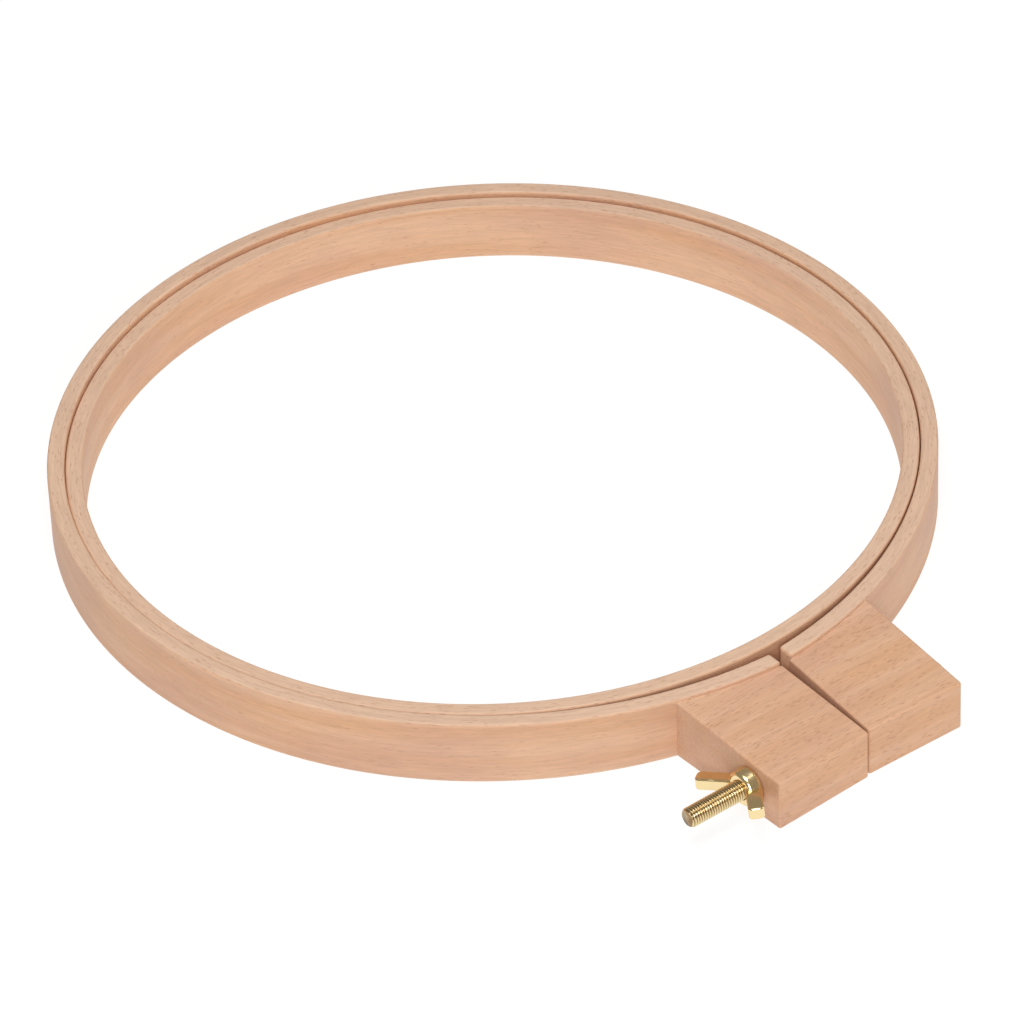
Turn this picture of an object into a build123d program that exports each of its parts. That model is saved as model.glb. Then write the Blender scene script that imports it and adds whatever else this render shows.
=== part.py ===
from build123d import *
import math
import os

# Wooden quilting hoop: a plain inner ring inside a split outer ring that a carriage bolt draws together.
# Millimetres. The origin is the centre of the rings, in the plane that the hoop lies on. +Z is up, the
# clamp is towards -Y and the bolt runs along X, with its wing nut at the -X end.
# A side is -1 for the half with the wing nut and +1 for the half with the bolt head.

# Rings
HOOP_RADIUS = 152.5          # outside of the outer ring
OUTER_DEPTH = 24.0
INNER_DEPTH = 23.0           # the inner ring stands a little lower
OUTER_WALL = 6.0
INNER_WALL = 5.9
RING_PLAY = 0.25             # radial, away from the clamp
RING_EASING = 0.9            # rounding of the long edges
BACK_SEAM = 0.1              # between the two halves that stand for the one bent strip

# The ends of the outer ring stand away from the inner ring
FLARE_ANGLE = 50.0           # degrees of ring, back from the split
FLARE = {-1: 3.8, 1: 3.0}    # how far out each end stands
RING_END = 2.2               # ring ends, from the plane of the split

# Clamp blocks
BLOCK_LENGTH = 39.0          # along the bolt
BLOCK_REACH = 41.5           # from the ring to the outer face, at the split
BLOCK_HEIGHT_OUTSIDE = 19.2  # at the outer face
BLOCK_HEIGHT_AT_RING = 22.4
BLOCK_SPARE = 16.0           # wood behind the ring's outside that the hollow takes away
BLOCK_TILT = 1.9             # degrees: the blocks come together first at their outer corners
BLOCK_GAP = 0.8              # between the two outer corners
BLOCK_EASING = 0.9
BOLT_INSET = 13.0            # bolt axis from the outer face
BOLT_HEIGHT = 11.3
BOLT_HOLE_RADIUS = 4.4

# Carriage bolt, 7 mm across its threads, which have a pitch of 1 mm
BOLT_RADIUS = 3.5
BOLT_PROJECTION = 27.0       # past the wing nut's block
TIP_CHAMFER = 0.6
HEAD_RADIUS = 8.2
HEAD_RISE = 3.8
HEAD_RIM = 0.6
HEAD_SINK = 0.5              # the head is drawn this far into the wood
NECK_WIDTH = 7.0
NECK_LENGTH = 5.0

# Washer and wing nut
WASHER_RADIUS = 6.2
WASHER_BORE_RADIUS = 3.7
WASHER_THICKNESS = 0.8
WASHER_STANDOFF = 0.25       # clear of the tilted face of the block
NUT_BORE_RADIUS = 3.56
HUB_BASE_RADIUS = 6.7
HUB_TOP_RADIUS = 6.0
HUB_HEIGHT = 4.4
HUB_EASING = 1.7
WING_THICKNESS = 4.2
WING_WIDTH = 5.4
WING_LEAN = 35.0             # degrees, the wings lean towards the free end of the bolt
WING_ROOT = 2.6              # where a wing starts inside the hub, from the bolt axis
WING_REACH = 15.6            # from the bolt axis to the middle of a wing's end
WING_RISE = 9.6              # the same, up from the base of the nut
WING_CORNER = 1.6            # radius of the corners at a wing's end
WING_EASING = 0.6
WING_TILT = 10.0             # degrees about the bolt: the outer wing is the higher one

THROUGH = 150.0              # length of a cutter that passes right through a part

OUTER_BORE = HOOP_RADIUS - OUTER_WALL
INNER_RADIUS = OUTER_BORE - RING_PLAY
INNER_BORE = INNER_RADIUS - INNER_WALL


def polar(centre, radius, degrees):
    """The point at that direction from a centre."""
    angle = math.radians(degrees)
    return (centre[0] + radius * math.cos(angle), centre[1] + radius * math.sin(angle))


def flare_growth(side):
    """How much larger the radius of the flared arc is than the round of the ring."""
    return FLARE[side] / (1 - math.cos(math.radians(FLARE_ANGLE)))


def flare_start(side):
    """Direction in degrees at which the round of the ring turns into the flared arc."""
    return -90 + side * FLARE_ANGLE


def flare_centre(side):
    """Centre of the flared arc, which leaves the round of the ring without a kink."""
    return polar((0, 0), -flare_growth(side), flare_start(side))


def flare_point(side, radius, x):
    """Where the flared arc that carries on a circle of that radius passes x."""
    cx, cy = flare_centre(side)
    return (x, cy - math.sqrt((radius + flare_growth(side)) ** 2 - (x - cx) ** 2))


def half_outline(side, radius):
    """One half turn of the outer ring at that radius, from its back to its end at the clamp."""
    back = 90 + (BACK_SEAM if side < 0 else 0) / radius * 180 / math.pi
    round_middle = 90 - side * (180 - FLARE_ANGLE) / 2
    start = polar((0, 0), radius, flare_start(side))
    centre = flare_centre(side)
    end = flare_point(side, radius, side * RING_END)
    end_direction = math.degrees(math.atan2(end[1] - centre[1], end[0] - centre[0]))
    flare_middle = (flare_start(side) + end_direction) / 2
    return [
        ThreePointArc(polar((0, 0), radius, back), polar((0, 0), radius, round_middle), start),
        ThreePointArc(start, polar(centre, radius + flare_growth(side), flare_middle), end),
    ]


def ease_round_edges(ring, easing):
    """Rounds the long edges of a ring, which are the flat arcs at its top and bottom."""
    long_edges = [edge for edge in ring.edges() if edge.length > OUTER_DEPTH]
    arcs = [edge for edge in long_edges if edge.geom_type == GeomType.CIRCLE]
    return fillet(arcs, easing)


def outer_half(side):
    inside = half_outline(side, OUTER_BORE)
    outside = half_outline(side, HOOP_RADIUS)
    back = Line(inside[0] @ 0, outside[0] @ 0)
    end = Line(inside[1] @ 1, outside[1] @ 1)
    section = make_face(Wire([*inside, *outside, back, end]))
    return ease_round_edges(extrude(section, OUTER_DEPTH), RING_EASING)


def inner_ring():
    section = Circle(INNER_RADIUS) - Circle(INNER_BORE)
    return ease_round_edges(extrude(section, INNER_DEPTH), RING_EASING)


def block_place(side):
    """The frame of a block. Its origin is the outer corner at the split, in the base plane."""
    corner_y = flare_point(side, HOOP_RADIUS, 0)[1] - BLOCK_REACH
    return Location((side * BLOCK_GAP / 2, corner_y, 0), (0, 0, -side * BLOCK_TILT))


def block_point(side, along, inward, height):
    """A point of a block, by its distance from the split, from the outer face and from the base."""
    return (block_place(side) * Pos(side * along, inward, height)).position


def clamp_block(side):
    """A block with a sloping top, hollowed at the back to the curve of the ring and drilled for the bolt."""
    depth = BLOCK_REACH + BLOCK_SPARE
    top_at_back = BLOCK_HEIGHT_OUTSIDE + (BLOCK_HEIGHT_AT_RING - BLOCK_HEIGHT_OUTSIDE) * depth / BLOCK_REACH
    profile = make_face(
        Polyline((0, 0), (depth, 0), (depth, top_at_back), (0, BLOCK_HEIGHT_OUTSIDE), close=True)
    )
    blank = Pos(0 if side > 0 else -BLOCK_LENGTH, 0, 0) * extrude(Plane.YZ * profile, BLOCK_LENGTH)
    seen = [edge for edge in blank.edges() if edge.center().Y < depth - BLOCK_EASING]
    block = block_place(side) * fillet(seen, BLOCK_EASING)
    ring = Cylinder(HOOP_RADIUS + flare_growth(side), THROUGH)
    hole = Rot(0, 90, 0) * Cylinder(BOLT_HOLE_RADIUS, THROUGH)
    block = block - Pos(*flare_centre(side), 0) * ring
    return block - block_place(side) * Pos(0, hole_inset(side), BOLT_HEIGHT) * hole


def bolt_y():
    """The bolt passes the middle of the hole in the wing nut's block."""
    return block_point(-1, BLOCK_LENGTH / 2, BOLT_INSET, BOLT_HEIGHT).Y


def hole_inset(side):
    """Where a block is drilled, in from its outer face, so that the two holes are in line."""
    return BOLT_INSET + bolt_y() - block_point(side, BLOCK_LENGTH / 2, BOLT_INSET, BOLT_HEIGHT).Y


def block_face_x(side):
    """Where the end face of a block crosses the bolt axis."""
    return block_point(side, BLOCK_LENGTH, hole_inset(side), BOLT_HEIGHT).X


def along_bolt(x):
    """A frame on the bolt axis whose Z runs towards the free end of the bolt."""
    return Pos(x, bolt_y(), BOLT_HEIGHT) * Rot(0, -90, 0)


def carriage_bolt():
    """Round shank, square neck and domed head, with a chamfered tip. Its threads aren't cut."""
    seat_x = block_face_x(1) - HEAD_SINK
    tip_x = block_face_x(-1) - BOLT_PROJECTION
    length = seat_x - tip_x
    dome_radius = (HEAD_RADIUS ** 2 + (HEAD_RISE - HEAD_RIM) ** 2) / (2 * (HEAD_RISE - HEAD_RIM))
    dome_middle = math.asin(HEAD_RADIUS / dome_radius) / 2
    crown = dome_radius - HEAD_RISE
    half_section = make_face(
        Wire([
            Line((0, length), (BOLT_RADIUS - TIP_CHAMFER, length)),
            Line((BOLT_RADIUS - TIP_CHAMFER, length), (BOLT_RADIUS, length - TIP_CHAMFER)),
            Line((BOLT_RADIUS, length - TIP_CHAMFER), (BOLT_RADIUS, 0)),
            Line((BOLT_RADIUS, 0), (HEAD_RADIUS, 0)),
            Line((HEAD_RADIUS, 0), (HEAD_RADIUS, -HEAD_RIM)),
            ThreePointArc(
                (HEAD_RADIUS, -HEAD_RIM),
                (dome_radius * math.sin(dome_middle), crown - dome_radius * math.cos(dome_middle)),
                (0, -HEAD_RISE),
            ),
            Line((0, -HEAD_RISE), (0, length)),
        ])
    )
    turned = revolve(Plane.XZ * half_section, Axis.Z)
    neck = Pos(0, 0, NECK_LENGTH / 2) * Box(NECK_WIDTH, NECK_WIDTH, NECK_LENGTH)
    return along_bolt(seat_x) * (turned + neck)


def washer():
    ring = Cylinder(WASHER_RADIUS, WASHER_THICKNESS) - Cylinder(WASHER_BORE_RADIUS, THROUGH)
    middle = block_face_x(-1) - WASHER_STANDOFF - WASHER_THICKNESS / 2
    return along_bolt(middle) * ring


def wing_outline():
    """One wing from the side: a leaning bar with round corners, rooted inside the hub."""
    length = (WING_REACH - WING_ROOT) / math.cos(math.radians(WING_LEAN))
    bar = Pos(-length / 2, 0) * RectangleRounded(length, WING_WIDTH, WING_CORNER)
    return Pos(WING_REACH, WING_RISE) * Rot(0, 0, WING_LEAN) * bar


def wing_nut():
    """Tapered hub with two leaning wings, bored for the bolt."""
    hub = extrude(Circle(HUB_BASE_RADIUS), HUB_HEIGHT, taper=hub_taper())
    hub = fillet(hub.edges().group_by(Axis.Z)[-1], HUB_EASING)
    wing = extrude(Plane.XZ * wing_outline(), WING_THICKNESS / 2, both=True)
    flat_sides = wing.faces().filter_by(Axis.Y)
    wing = fillet(flat_sides.edges(), WING_EASING)
    above_base = Pos(0, 0, THROUGH / 2) * Box(THROUGH, THROUGH, THROUGH)
    body = hub + (wing & above_base) + (Rot(0, 0, 180) * wing & above_base)
    body = body - Cylinder(NUT_BORE_RADIUS, THROUGH)
    base_x = block_face_x(-1) - WASHER_STANDOFF - WASHER_THICKNESS
    return along_bolt(base_x) * Rot(0, 0, 90 + WING_TILT) * body


def hub_taper():
    return math.degrees(math.atan((HUB_BASE_RADIUS - HUB_TOP_RADIUS) / HUB_HEIGHT))


def export_node(name, shape):
    shape.label = name
    export_step(shape, f"parts/{name}.step")


def main():
    os.makedirs("parts", exist_ok=True)
    bolt = carriage_bolt()
    export_node("inner_ring", inner_ring())
    export_node("outer_ring_nut_half", outer_half(-1))
    export_node("outer_ring_head_half", outer_half(1))
    export_node("clamp_block_nut_side", clamp_block(-1))
    export_node("clamp_block_head_side", clamp_block(1) - bolt)
    export_node("carriage_bolt", bolt)
    export_node("washer", washer())
    export_node("wing_nut", wing_nut())
    print("bolt axis at y", bolt_y(), "block faces at x", block_face_x(-1), block_face_x(1))


main()
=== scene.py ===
import math

import bmesh
import bpy
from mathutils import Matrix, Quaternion, Vector


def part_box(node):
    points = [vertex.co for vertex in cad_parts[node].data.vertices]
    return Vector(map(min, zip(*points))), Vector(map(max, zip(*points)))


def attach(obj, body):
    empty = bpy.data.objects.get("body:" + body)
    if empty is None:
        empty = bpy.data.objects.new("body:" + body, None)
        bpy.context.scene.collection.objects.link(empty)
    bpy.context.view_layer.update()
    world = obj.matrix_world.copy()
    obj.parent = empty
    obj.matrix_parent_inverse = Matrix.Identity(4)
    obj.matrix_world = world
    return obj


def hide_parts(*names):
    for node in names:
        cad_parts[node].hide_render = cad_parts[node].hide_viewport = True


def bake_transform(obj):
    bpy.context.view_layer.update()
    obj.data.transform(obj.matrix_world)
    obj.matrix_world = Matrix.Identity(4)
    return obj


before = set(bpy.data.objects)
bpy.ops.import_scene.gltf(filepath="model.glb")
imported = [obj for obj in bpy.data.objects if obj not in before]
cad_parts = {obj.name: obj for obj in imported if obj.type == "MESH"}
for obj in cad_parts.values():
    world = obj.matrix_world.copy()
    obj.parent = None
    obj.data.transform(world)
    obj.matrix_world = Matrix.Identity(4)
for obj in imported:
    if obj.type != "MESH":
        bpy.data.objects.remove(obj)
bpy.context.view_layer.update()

# Everything is in metres, in the frame of the CAD model: origin at the ring centre in the base plane,
# +Z up, clamp towards -Y, bolt along X with its free end at -X.
# A side is -1 for the half with the wing nut and +1 for the half with the bolt head.
MM = 0.001

INNER_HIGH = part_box("inner_ring")[1]
OUTER_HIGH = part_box("outer_ring_head_half")[1]
BOLT_LOW, BOLT_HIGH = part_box("carriage_bolt")
WASHER_LOW, WASHER_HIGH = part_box("washer")

# Rings. The walls and the flare aren't in the boxes, so they are repeated from the CAD model.
OUTER_RADIUS = OUTER_HIGH.x
OUTER_DEPTH = OUTER_HIGH.z
OUTER_BORE = OUTER_RADIUS - 6.0 * MM
INNER_RADIUS = INNER_HIGH.x
INNER_DEPTH = INNER_HIGH.z
INNER_BORE = INNER_RADIUS - 5.9 * MM
RING_EASING = 0.9 * MM
LEAST_EASING = 0.1 * MM      # where the section shrinks at a rounded end
RING_END = 2.2 * MM
END_EASING = 1.4 * MM
FLARE_ANGLE = 50.0           # degrees
FLARE = {-1: 3.8 * MM, 1: 3.0 * MM}
ROUND_STEPS = 130            # sections in the round part of a half ring
FLARE_STEPS = 50             # the same for its flared end
CORNER_STEPS = 5             # round a right-angled corner
SUPPORT = 0.35 * MM          # from the end of an eased edge to the first line of the flat beside it

# The inner ring lies against one side of the outer one, and isn't quite evenly deep.
INNER_SHIFT = Vector((-0.12, -0.02)) * MM
INNER_TAPER = 0.9 * MM       # deeper at the clamp and shallower at the back, by this much
SCARF_DIRECTION = 200.0      # degrees, where the glued scarf joint of the inner ring starts at its bore
SCARF_LENGTH = 24 * MM
SCARF_GAP = 0.006 * MM

# Carriage bolt
BOLT_Y = (BOLT_LOW.y + BOLT_HIGH.y) / 2
BOLT_Z = (BOLT_LOW.z + BOLT_HIGH.z) / 2
HEAD_RADIUS = (BOLT_HIGH.z - BOLT_LOW.z) / 2
HEAD_RISE = 3.8 * MM
HEAD_RIM = 0.6 * MM
BOLT_SEAT_X = BOLT_HIGH.x - HEAD_RISE
BOLT_RADIUS = 3.5 * MM
THREAD_ROOT = 2.9 * MM
THREAD_PITCH = 1.0 * MM
TIP_CHAMFER = 0.6 * MM
NECK_WIDTH = 7.0 * MM
NECK_LENGTH = 5.0 * MM
METAL_EASING = 0.2 * MM
TURN_STEPS = 40              # round one turn of the thread
THREAD_CREST = 0.14          # flat of the thread, as a share of the pitch
THREAD_FLOOR = 0.12          # the same for the bottom of the groove

# Washer and wing nut
WASHER_BORE = 3.7 * MM
LATHE_STEPS = 72             # round a turned piece
NUT_VOXEL = 0.16 * MM
NUT_SMOOTHING = 8            # rounds of smoothing
MERGE_DISTANCE = 0.002 * MM  # points nearer than this are joined


# ---------------------------------------------------------------- mesh helpers

def add_mesh(name, points, faces, material, attributes=None):
    """A smooth-shaded mesh object with one material. An attribute has one value per point."""
    mesh = bpy.data.meshes.new(name)
    mesh.from_pydata(points, [], faces)
    for key, values in (attributes or {}).items():
        if isinstance(values[0], tuple):
            layer = mesh.attributes.new(key, "FLOAT_VECTOR", "POINT")
            layer.data.foreach_set("vector", [number for value in values for number in value])
        else:
            mesh.attributes.new(key, "FLOAT", "POINT").data.foreach_set("value", values)
    tidy_mesh(mesh)
    obj = bpy.data.objects.new(name, mesh)
    bpy.context.scene.collection.objects.link(obj)
    obj.data.materials.append(material)
    return obj


def tidy_mesh(mesh, close=False):
    """Outward normals and smooth shading. With close, joins points in one place and fills holes."""
    bm = bmesh.new()
    bm.from_mesh(mesh)
    if close:
        bmesh.ops.remove_doubles(bm, verts=bm.verts, dist=MERGE_DISTANCE)
        bmesh.ops.holes_fill(bm, edges=[edge for edge in bm.edges if edge.is_boundary], sides=0)
    bmesh.ops.recalc_face_normals(bm, faces=bm.faces)
    bm.to_mesh(mesh)
    bm.free()
    mesh.polygons.foreach_set("use_smooth", [True] * len(mesh.polygons))


def polar(centre, radius, degrees):
    """The point at a radius from a centre, in a direction."""
    angle = math.radians(degrees)
    return Vector((centre[0] + radius * math.cos(angle), centre[1] + radius * math.sin(angle)))


def quarter_turn():
    """Sine and cosine at even steps through a right angle."""
    angles = [math.pi / 2 * step / CORNER_STEPS for step in range(CORNER_STEPS + 1)]
    return [(math.sin(angle), math.cos(angle)) for angle in angles]


def strip_faces(rows, count):
    """Faces of a tube of that many rows of points, with both ends closed."""
    faces = [list(range(count)), [(rows - 1) * count + i for i in range(count)]]
    for row in range(rows - 1):
        for i in range(count):
            here, beside = row * count + i, row * count + (i + 1) % count
            faces.append([here, beside, beside + count, here + count])
    return faces


# ---------------------------------------------------------------- rings

def ring_section(low_r, high_r, depth, inset=0.0):
    """A ring's section, counted round: (radius, height, easing) with easing 1 on the rounded edges."""
    easing = max(RING_EASING - inset, LEAST_EASING)
    corners = [(high_r, -1, 0, 1), (high_r, -1, depth, -1), (low_r, 1, depth, -1), (low_r, 1, 0, 1)]
    points = []
    for index, (r, r_inwards, z, z_inwards) in enumerate(corners):
        centre_r = r + r_inwards * (inset + easing)
        centre_z = z + z_inwards * (inset + easing)
        arc = [
            (centre_r - r_inwards * easing * sine, centre_z - z_inwards * easing * cosine, 1.0)
            for sine, cosine in quarter_turn()
        ]
        on_flat = (centre_r + r_inwards * SUPPORT, z + z_inwards * inset, 0.0)
        on_wall = (r + r_inwards * inset, centre_z + z_inwards * SUPPORT, 0.0)
        corner = [on_flat, *arc, on_wall]
        points += corner if index % 2 == 0 else corner[::-1]
    return points


def add_strip(name, sections, material):
    """A bent strip of wood through sections, each a list of (point, grain coordinates, easing)."""
    entries = [entry for section in sections for entry in section]
    points, grain, easing = zip(*entries)
    faces = strip_faces(len(sections), len(sections[0]))
    return add_mesh(name, points, faces, material, {"grain": grain, "easing": easing})


def flare_growth(side):
    """How much larger the radius of the flared arc is than the round of the ring."""
    return FLARE[side] / (1 - math.cos(math.radians(FLARE_ANGLE)))


def flare_start(side):
    """Direction in which the round of the ring ends and its flare begins."""
    return -90 + side * FLARE_ANGLE


def flare_centre(side):
    """Centre of the flared arc. It is across the ring's centre from where the flare begins."""
    return polar((0, 0), -flare_growth(side), flare_start(side))


def flare_end(side, radius):
    """Direction from the flare's centre in which a circle of that radius meets the end of the ring."""
    centre = flare_centre(side)
    return -math.degrees(math.acos((side * RING_END - centre.x) / (radius + flare_growth(side))))


def outer_point(side, place, radius):
    """A point of the outer ring: place is 0 at its back, 1 where the flare starts and 2 at its end."""
    if place <= 1:
        return polar((0, 0), radius, 90 - side * (180 - FLARE_ANGLE) * place)
    start = flare_start(side)
    direction = start + (flare_end(side, radius) - start) * (place - 1)
    return polar(flare_centre(side), radius + flare_growth(side), direction)


def outer_length(side, place):
    """Length of wood from the back of the ring, negative on the wing nut's side."""
    degrees = min(place, 1) * (180 - FLARE_ANGLE) + max(place - 1, 0) * FLARE_ANGLE
    return side * math.radians(degrees) * OUTER_RADIUS


def outer_places():
    """(place, inset) of each section of a half ring. The last ones round its end."""
    rounding = END_EASING / (math.radians(FLARE_ANGLE) * OUTER_RADIUS)
    places = [(step / ROUND_STEPS, 0.0) for step in range(ROUND_STEPS)]
    places += [(1 + (1 - rounding) * step / FLARE_STEPS, 0.0) for step in range(FLARE_STEPS)]
    places += [(2 - rounding * (1 - sine), END_EASING * (1 - cosine)) for sine, cosine in quarter_turn()]
    return places


def mark_ends(strip, *ends):
    """Marks the edges round end faces as sharp, so that two ends meet without a dark line.

    An end is the first and last number of its points.
    """
    for edge in strip.data.edges:
        low, high = sorted(edge.vertices)
        edge.use_edge_sharp = any(first <= low and high <= last for first, last in ends)


def outer_half(side, name, material):
    """Half of the outer strip. The two halves meet at the back without a visible line."""
    sections = []
    for place, inset in outer_places():
        section = []
        for r, z, easing in ring_section(OUTER_BORE, OUTER_RADIUS, OUTER_DEPTH, inset):
            point = outer_point(side, place, r)
            section.append(((point.x, point.y, z), (outer_length(side, place), r, z), easing))
        sections.append(section)
    half = add_strip(name, sections, material)
    mark_ends(half, (0, len(sections[0]) - 1))
    return half


def inner_ring(name, material):
    """One strip whose two tapered ends are glued in a long scarf joint, seen as a fine line."""
    steps = 2 * (ROUND_STEPS + FLARE_STEPS)
    full_turn = 2 * math.pi - SCARF_GAP / INNER_BORE
    sections = []
    for step in range(steps + 1):
        section = []
        for r, z, easing in ring_section(INNER_BORE, INNER_RADIUS, INNER_DEPTH):
            into_wall = (r - INNER_BORE) / (INNER_RADIUS - INNER_BORE)
            start = math.radians(SCARF_DIRECTION) + SCARF_LENGTH * into_wall / INNER_BORE
            turn = start + full_turn * step / steps
            point = polar(INNER_SHIFT, r, math.degrees(turn))
            height = z * (1 - INNER_TAPER / INNER_DEPTH * math.sin(turn))
            section.append(((point.x, point.y, height), (turn * INNER_RADIUS, r, z + OUTER_RADIUS), easing))
        sections.append(section)
    ring = add_strip(name, sections, material)
    count = len(sections[0])
    mark_ends(ring, (0, count - 1), (steps * count, (steps + 1) * count - 1))
    return ring


# ---------------------------------------------------------------- bolt, washer, wing nut

def thread_profile():
    """(share of the pitch, radius, depth in the groove) along one pitch of the thread."""
    slope = (1 - THREAD_CREST - THREAD_FLOOR) / 2
    halfway = (BOLT_RADIUS + THREAD_ROOT) / 2
    return [
        (0.0, BOLT_RADIUS, 0.0),
        (THREAD_CREST, BOLT_RADIUS, 0.0),
        (THREAD_CREST + slope / 2, halfway, 0.5),
        (THREAD_CREST + slope, THREAD_ROOT, 1.0),
        (THREAD_CREST + slope + THREAD_FLOOR, THREAD_ROOT, 1.0),
        (1 - slope / 2, halfway, 0.5),
    ]


def shank_points(start_x, tip_x, rows):
    """Points of a right-hand thread, with the depth in the groove of each."""
    points, depths = [], []
    for row in range(rows + 1):
        angle = 2 * math.pi * row / TURN_STEPS
        for share, radius, depth in thread_profile():
            x = start_x + THREAD_PITCH * (1 - share - row / TURN_STEPS)
            x = min(max(x, tip_x), start_x)
            r = min(radius, BOLT_RADIUS - TIP_CHAMFER + (x - tip_x))
            points.append((x, BOLT_Y + r * math.cos(angle), BOLT_Z - r * math.sin(angle)))
            depths.append(depth)
    return points, depths


def bolt_shank(name, material):
    start_x = BOLT_SEAT_X - NECK_LENGTH / 2
    tip_x = BOLT_LOW.x
    rows = TURN_STEPS * (math.ceil((start_x - tip_x) / THREAD_PITCH) + 1)
    points, depths = shank_points(start_x, tip_x, rows)
    width = len(thread_profile())
    faces = []
    for row in range(rows):
        for i in range(width):
            here = row * width + i
            after = here + 1 if i + 1 < width else (row + TURN_STEPS) * width
            if after + width < len(points):
                faces.append([here, here + width, after + width, after])
    shank = add_mesh(name, points, faces, material, {"groove": depths})
    tidy_mesh(shank.data, close=True)
    return shank


def add_lathe(name, profile, material, closed=False):
    """A turned piece on the bolt's axis: profile is (x, radius), from axis to axis or a closed loop."""
    points = []
    for x, r in profile:
        for step in range(LATHE_STEPS):
            angle = 2 * math.pi * step / LATHE_STEPS
            points.append((x, BOLT_Y + r * math.cos(angle), BOLT_Z + r * math.sin(angle)))
    faces = strip_faces(len(profile), LATHE_STEPS)[2:]
    if closed:
        last = (len(profile) - 1) * LATHE_STEPS
        for i in range(LATHE_STEPS):
            j = (i + 1) % LATHE_STEPS
            faces.append([last + i, last + j, j, i])
    piece = add_mesh(name, points, faces, material)
    tidy_mesh(piece.data, close=True)
    return piece


def bolt_head(name, material):
    """A low dome with a narrow rim."""
    dome_rise = HEAD_RISE - HEAD_RIM
    dome_radius = (HEAD_RADIUS ** 2 + dome_rise ** 2) / (2 * dome_rise)
    edge_angle = math.asin(HEAD_RADIUS / dome_radius)
    centre_x = BOLT_HIGH.x - dome_radius
    profile = [(BOLT_SEAT_X, 0.0), (BOLT_SEAT_X, HEAD_RADIUS - 2 * METAL_EASING)]
    profile += [
        (BOLT_SEAT_X + METAL_EASING * (1 - cosine), HEAD_RADIUS - METAL_EASING * (1 - sine))
        for sine, cosine in quarter_turn()
    ]
    dome_steps = 4 * CORNER_STEPS
    for step in range(dome_steps + 1):
        angle = edge_angle * (1 - step / dome_steps)
        profile.append((centre_x + dome_radius * math.cos(angle), dome_radius * math.sin(angle)))
    return add_lathe(name, profile, material)


def bolt_neck(name, material):
    """The square neck that keeps the bolt from turning in its block."""
    half = NECK_WIDTH / 2
    outline = [(half, half - METAL_EASING), (half - METAL_EASING, half)]
    outline += [(-y, x) for x, y in outline]
    outline += [(-x, -y) for x, y in outline]
    points = []
    for x in (BOLT_SEAT_X, BOLT_SEAT_X - NECK_LENGTH):
        points += [(x, BOLT_Y + y, BOLT_Z + z) for y, z in outline]
    neck = add_mesh(name, points, strip_faces(2, len(outline)), material)
    neck.data.polygons.foreach_set("use_smooth", [False] * len(neck.data.polygons))
    return neck


def washer(name, material):
    """A flat ring with rounded edges."""
    outside = (WASHER_HIGH.z - WASHER_LOW.z) / 2
    corners = [
        (WASHER_HIGH.x, -1, outside, -1),
        (WASHER_HIGH.x, -1, WASHER_BORE, 1),
        (WASHER_LOW.x, 1, WASHER_BORE, 1),
        (WASHER_LOW.x, 1, outside, -1),
    ]
    profile = []
    for index, (x, x_inwards, r, r_inwards) in enumerate(corners):
        arc = [
            (x + x_inwards * METAL_EASING * (1 - sine), r + r_inwards * METAL_EASING * (1 - cosine))
            for sine, cosine in quarter_turn()
        ]
        profile += arc if index % 2 == 0 else arc[::-1]
    return add_lathe(name, profile, material, closed=True)


def wing_nut(name, material):
    """The CAD nut with the soft corners and hollows of a cast one."""
    nut = bpy.data.objects.new(name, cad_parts["wing_nut"].data.copy())
    bpy.context.scene.collection.objects.link(nut)
    grid = nut.modifiers.new("grid", "REMESH")
    grid.mode = "VOXEL"
    grid.voxel_size = NUT_VOXEL
    soften = nut.modifiers.new("soften", "SMOOTH")
    soften.factor = 0.5
    soften.iterations = NUT_SMOOTHING
    evaluated = nut.evaluated_get(bpy.context.evaluated_depsgraph_get())
    mesh = bpy.data.meshes.new_from_object(evaluated)
    nut.modifiers.clear()
    nut.data = mesh
    tidy_mesh(mesh)
    mesh.materials.clear()
    mesh.materials.append(material)
    return nut


# ---------------------------------------------------------------- materials

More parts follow.
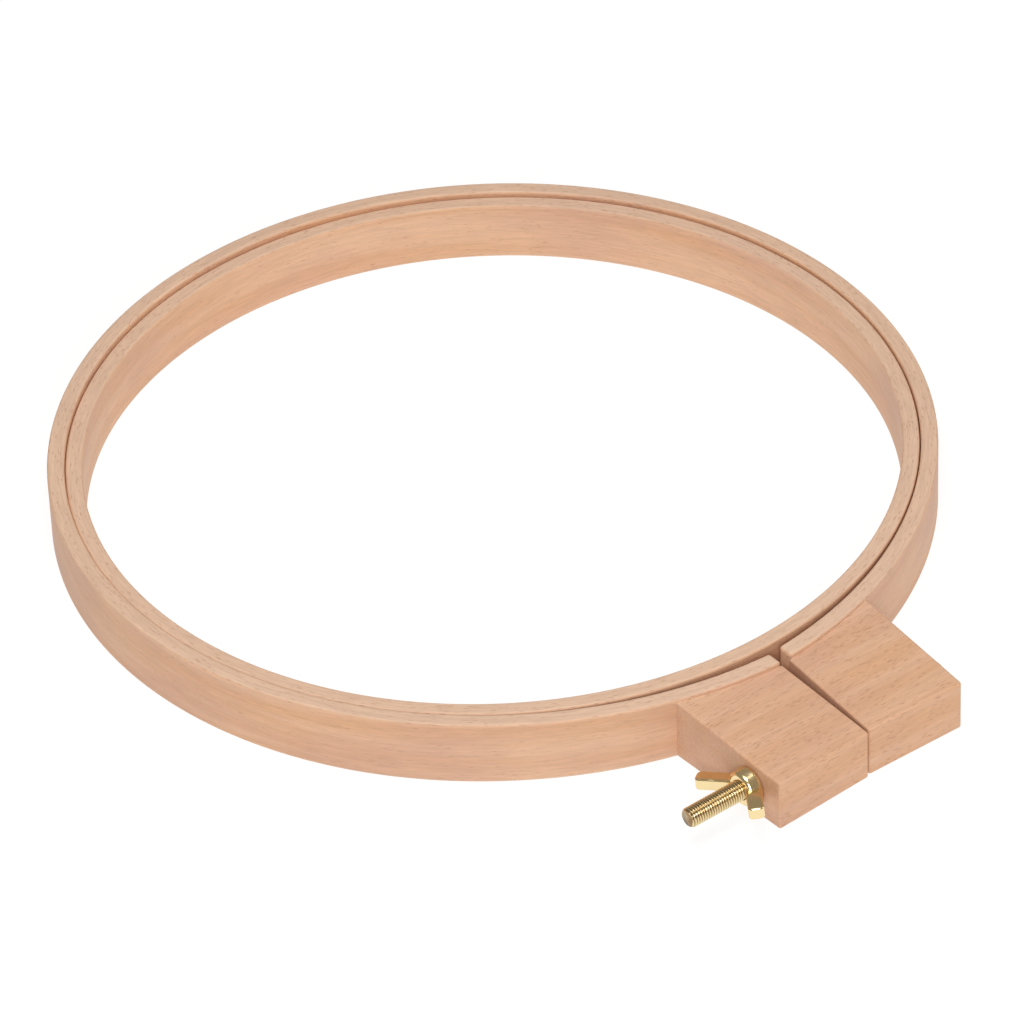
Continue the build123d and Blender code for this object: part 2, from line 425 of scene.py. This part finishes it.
class Recipe:
    """Builds one node material around a Principled shader."""

    def __init__(self, name, **constants):
        self.material = bpy.data.materials.new(name)
        self.material.use_nodes = True
        self.tree = self.material.node_tree
        self.shader = self.tree.nodes["Principled BSDF"]
        for key, value in constants.items():
            self.shader.inputs[key.replace("_", " ")].default_value = value

    def node(self, kind, inputs, **settings):
        """A node with its settings. An input is a number, a tuple or another node's output."""
        node = self.tree.nodes.new(kind)
        for key, value in settings.items():
            setattr(node, key, value)
        for key, value in inputs.items():
            if isinstance(value, bpy.types.NodeSocket):
                self.tree.links.new(value, node.inputs[key])
            else:
                node.inputs[key].default_value = value
        return node

    def attribute(self, name, output):
        return self.node("ShaderNodeAttribute", {}, attribute_name=name).outputs[output]

    def maths(self, operation, *values):
        return self.node("ShaderNodeMath", dict(enumerate(values)), operation=operation).outputs[0]

    def stretch(self, vector, scale):
        """The vector times a scale of its own for each axis."""
        return self.node("ShaderNodeVectorMath", {0: vector, 1: scale}, operation="MULTIPLY").outputs[0]

    def noise(self, vector, scale, detail=2.0):
        """Noise from 0 to 1, with features of about one over the scale along each axis."""
        inputs = {"Vector": self.stretch(vector, scale), "Scale": 1.0, "Detail": detail}
        return self.node("ShaderNodeTexNoise", inputs).outputs[0]

    def ramp(self, value, start, end, low=0.0, high=1.0):
        """low up to start, high from end on, and smooth between them."""
        inputs = {"Value": value, "From Min": start, "From Max": end, "To Min": low, "To Max": high}
        return self.node("ShaderNodeMapRange", inputs, interpolation_type="SMOOTHSTEP").outputs[0]

    def mix(self, factor, first, second, blend="MIX"):
        inputs = {0: factor, 6: first, 7: second}
        return self.node("ShaderNodeMix", inputs, data_type="RGBA", blend_type=blend).outputs[2]

    def bump(self, height, distance):
        bump = self.node("ShaderNodeBump", {"Height": height, "Distance": distance, "Strength": 1.0})
        self.tree.links.new(bump.outputs[0], self.shader.inputs["Normal"])

    def feed(self, socket, value):
        self.tree.links.new(value, self.shader.inputs[socket])


# Features to the metre, along and across the grain
BAND_SCALE = (7, 130, 130)
BLOTCH_SCALE = (16, 42, 42)
STREAK_SCALE = (45, 900, 900)
FIBRE_SCALE = (110, 2400, 2400)
FLECK_SCALE = (250, 1900, 1900)
FLECK_BEND_SCALE = (60, 400, 400)
WOOD_RELIEF = 0.02 * MM
BLOTCH_STRENGTH = 0.6
# Painted highlight: the rounded edges are painted paler, as if catching the light.
EDGE_HIGHLIGHT = 0.2              # how much paler the rounded edges are

BEECH_PALE = (0.745, 0.465, 0.30, 1)
BEECH_WARM = (0.70, 0.395, 0.225, 1)
BEECH_PINK = (0.64, 0.37, 0.26, 1)
# Painted light: faces turned up are painted paler and greyer, as if lit from above.
BEECH_LIT_TOP = (0.77, 0.555, 0.415, 1)
BEECH_FLECK = (0.42, 0.20, 0.11, 1)
# Painted highlight colour of the rounded edges.
BEECH_EDGE_HIGHLIGHT = (0.78, 0.54, 0.37, 1)
BEECH_END = (0.52, 0.30, 0.20, 1)


def flecks(recipe, vector):
    """The short dark dashes of beech, along the grain: 1 in a dash and 0 between them."""
    bend = recipe.noise(vector, FLECK_BEND_SCALE, 1.0)
    shift = recipe.node("ShaderNodeCombineXYZ", {0: bend, 1: bend, 2: bend}).outputs[0]
    cells = recipe.stretch(vector, FLECK_SCALE)
    moved = recipe.node("ShaderNodeVectorMath", {0: cells, 1: shift}, operation="ADD").outputs[0]
    cell = recipe.node("ShaderNodeTexVoronoi", {"Vector": moved, "Scale": 1.0}, voronoi_dimensions="3D")
    dash = recipe.ramp(cell.outputs["Distance"], 0.12, 0.38, 1.0, 0.0)
    chosen = recipe.ramp(cell.outputs["Color"], 0.25, 0.7)
    return recipe.maths("MULTIPLY", dash, chosen)


def beech(name, vector_source, lit_top, end_grain, fleck_strength):
    """Beech, with its grain along the first axis of a mesh's grain vector or of the object."""
    recipe = Recipe(name, IOR=1.45)
    if vector_source == "grain":
        vector = recipe.attribute("grain", "Vector")
    else:
        vector = recipe.node("ShaderNodeTexCoord", {}).outputs["Object"]
    bands = recipe.ramp(recipe.noise(vector, BAND_SCALE, 3.0), 0.35, 0.65)
    blotches = recipe.ramp(recipe.noise(vector, BLOTCH_SCALE, 2.0), 0.4, 0.7)
    streaks = recipe.noise(vector, STREAK_SCALE, 2.0)
    fibres = recipe.noise(vector, FIBRE_SCALE, 3.0)
    dashes = flecks(recipe, vector)
    geometry = recipe.node("ShaderNodeNewGeometry", {})
    normal = recipe.node("ShaderNodeSeparateXYZ", {0: geometry.outputs["Normal"]})
    facing_up = recipe.ramp(recipe.maths("ABSOLUTE", normal.outputs[2]), 0.6, 0.98)
    facing_end = recipe.ramp(recipe.maths("ABSOLUTE", normal.outputs[0]), 0.8, 0.97)

    colour = recipe.mix(bands, BEECH_PALE, BEECH_WARM)
    colour = recipe.mix(recipe.maths("MULTIPLY", blotches, BLOTCH_STRENGTH), colour, BEECH_PINK)
    # Painted light: faces turned up are painted paler and greyer, as if lit from above.
    colour = recipe.mix(recipe.maths("MULTIPLY", facing_up, lit_top), colour, BEECH_LIT_TOP)
    colour = recipe.mix(recipe.maths("MULTIPLY", facing_end, end_grain), colour, BEECH_END)
    # Painted highlight: the rounded edges are painted paler, as if catching the light.
    edge_highlight = recipe.maths("MULTIPLY", recipe.attribute("easing", "Fac"), EDGE_HIGHLIGHT)
    colour = recipe.mix(edge_highlight, colour, BEECH_EDGE_HIGHLIGHT)
    shade = recipe.ramp(fibres, 0.3, 0.7, 0.92, 1.05)
    shade = recipe.maths("MULTIPLY", shade, recipe.ramp(streaks, 0.3, 0.7, 0.96, 1.03))
    shade = recipe.node("ShaderNodeCombineColor", {0: shade, 1: shade, 2: shade}).outputs[0]
    colour = recipe.mix(1.0, colour, shade, "MULTIPLY")
    colour = recipe.mix(recipe.maths("MULTIPLY", dashes, fleck_strength), colour, BEECH_FLECK)
    recipe.feed("Base Color", colour)
    recipe.feed("Roughness", recipe.ramp(fibres, 0.3, 0.7, 0.5, 0.62))
    recipe.bump(recipe.maths("SUBTRACT", fibres, dashes), WOOD_RELIEF)
    return recipe.material


BRASS = (0.90, 0.72, 0.40, 1)
BRASS_DULL = (0.50, 0.36, 0.18, 1)
# Painted shade: the colour of the bottom of the thread's grooves.
BRASS_GROOVE_SHADE = (0.30, 0.19, 0.09, 1)
SMUDGE_SCALE = (260, 260, 260)
SCRATCH_SCALE = (900, 6000, 6000)
SCRATCH_RELIEF = 0.003 * MM


def brass(name):
    """Bright brass plate with painted shade in the thread's grooves, and a little dull where it has been
    handled.
    """
    recipe = Recipe(name, Metallic=1.0)
    vector = recipe.node("ShaderNodeTexCoord", {}).outputs["Object"]
    smudges = recipe.noise(vector, SMUDGE_SCALE, 3.0)
    scratches = recipe.noise(vector, SCRATCH_SCALE, 2.0)
    colour = recipe.mix(recipe.ramp(smudges, 0.55, 0.8, 0.0, 0.35), BRASS, BRASS_DULL)
    # Painted shade: darker the deeper the point lies in the thread's groove.
    recipe.feed("Base Color", recipe.mix(recipe.attribute("groove", "Fac"), colour, BRASS_GROOVE_SHADE))
    recipe.feed("Roughness", recipe.ramp(smudges, 0.35, 0.7, 0.13, 0.24))
    recipe.bump(scratches, SCRATCH_RELIEF)
    return recipe.material


# ---------------------------------------------------------------- camera, light, floor

CAMERA_AZIMUTH = -37.0       # degrees
CAMERA_ELEVATION = 38.0
CAMERA_ROLL = -2.4
CAMERA_DISTANCE = 2.4
CAMERA_LENS = 245.8          # mm, on a sensor of the next width
CAMERA_SENSOR = 36
CAMERA_OFFSET = (5.8 * MM, -15.3 * MM)      # of the point looked at, right and up from the rings' centre


def add_camera():
    """Looks down at the hoop from the clamp's side."""
    azimuth, elevation = math.radians(CAMERA_AZIMUTH), math.radians(CAMERA_ELEVATION)
    level = math.cos(elevation)
    back = Vector((math.sin(azimuth) * level, -math.cos(azimuth) * level, math.sin(elevation)))
    right = Vector((math.cos(azimuth), math.sin(azimuth), 0))
    up = back.cross(right)
    target = Vector((0, 0, OUTER_DEPTH / 2)) + CAMERA_OFFSET[0] * right + CAMERA_OFFSET[1] * up
    data = bpy.data.cameras.new("camera")
    data.lens = CAMERA_LENS
    data.sensor_width = CAMERA_SENSOR
    camera = bpy.data.objects.new("camera", data)
    camera.location = target + back * CAMERA_DISTANCE
    camera.rotation_mode = "QUATERNION"
    roll = Quaternion((0, 0, 1), math.radians(CAMERA_ROLL))
    camera.rotation_quaternion = (-back).to_track_quat("-Z", "Y") @ roll
    bpy.context.scene.collection.objects.link(camera)
    bpy.context.scene.camera = camera


def add_light(name, location, energy, size):
    """A square soft light, turned to the object."""
    data = bpy.data.lights.new(name, "AREA")
    data.energy = energy
    data.size = size
    light = bpy.data.objects.new(name, data)
    light.location = location
    light.rotation_mode = "QUATERNION"
    light.rotation_quaternion = Vector(location).to_track_quat("Z", "Y")
    bpy.context.scene.collection.objects.link(light)


FLOOR_SIZE = 8.0
FLOOR_DROP = 0.1 * MM        # below the object, so that their faces aren't in one plane
FLOOR_COLOUR = (0.15, 0.15, 0.15, 1)
FLOOR_GLOW = 0.88            # the floor glows evenly, as a light table does
WORLD_COLOUR = (1, 0.9, 0.8, 1)
WORLD_STRENGTH = 0.3


def add_floor():
    """A white floor, wide enough to fill the picture."""
    directions = [(-1, -1), (1, -1), (1, 1), (-1, 1)]
    corners = [(x * FLOOR_SIZE, y * FLOOR_SIZE, -FLOOR_DROP) for x, y in directions]
    recipe = Recipe(
        "floor_white",
        Roughness=0.9,
        Base_Color=FLOOR_COLOUR,
        Emission_Color=(1, 1, 1, 1),
        Emission_Strength=FLOOR_GLOW,
    )
    floor = add_mesh("floor", corners, [[0, 1, 2, 3]], recipe.material)


def add_world():
    world = bpy.data.worlds.new("studio")
    world.use_nodes = True
    background = world.node_tree.nodes["Background"]
    background.inputs["Color"].default_value = WORLD_COLOUR
    background.inputs["Strength"].default_value = WORLD_STRENGTH
    bpy.context.scene.world = world
    bpy.context.scene.view_settings.view_transform = "Standard"


# ---------------------------------------------------------------- the object

def finish_piece(piece, slot, *nodes):
    """Hides the CAD nodes that a piece stands in for."""
    if nodes:
        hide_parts(*nodes)


def set_material(node, material):
    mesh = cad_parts[node].data
    mesh.materials.clear()
    mesh.materials.append(material)


def add_wood():
    # The ring tops get strong painted light and the block tops a little.
    ring_wood = beech("ring_beech", "grain", lit_top=0.75, end_grain=0.0, fleck_strength=0.6)
    block_wood = beech("block_beech", "object", lit_top=0.1, end_grain=0.35, fleck_strength=0.75)

    nut_half = outer_half(-1, "outer_ring_strip_nut_side", ring_wood)
    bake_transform(nut_half)
    finish_piece(nut_half, "ring_beech", "outer_ring_nut_half")
    head_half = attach(outer_half(1, "outer_ring_strip_head_side", ring_wood), "head_half")
    finish_piece(head_half, "ring_beech", "outer_ring_head_half")
    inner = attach(inner_ring("inner_ring_strip", ring_wood), "inner_ring")
    finish_piece(inner, "ring_beech", "inner_ring")
    set_material("clamp_block_nut_side", block_wood)
    set_material("clamp_block_head_side", block_wood)


def add_metal():
    plate = brass("brass_plate")
    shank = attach(bolt_shank("bolt_shank", plate), "head_half")
    finish_piece(shank, "brass", "carriage_bolt")
    for part in (bolt_head("bolt_head", plate), bolt_neck("bolt_neck", plate)):
        finish_piece(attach(part, "head_half"), "brass")
    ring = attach(washer("washer_ring", plate), "washer")
    finish_piece(ring, "brass", "washer")
    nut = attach(wing_nut("wing_nut_cast", plate), "wing_nut")
    finish_piece(nut, "brass", "wing_nut")


add_wood()
add_metal()
add_camera()
add_floor()
add_world()
add_light("overhead", (-0.3, -0.2, 1.6), 13, 0.9)
add_light("key", (-0.9, -1.3, 0.9), 10, 0.6)
add_light("fill", (1.2, -0.9, 0.8), 3.5, 0.6)
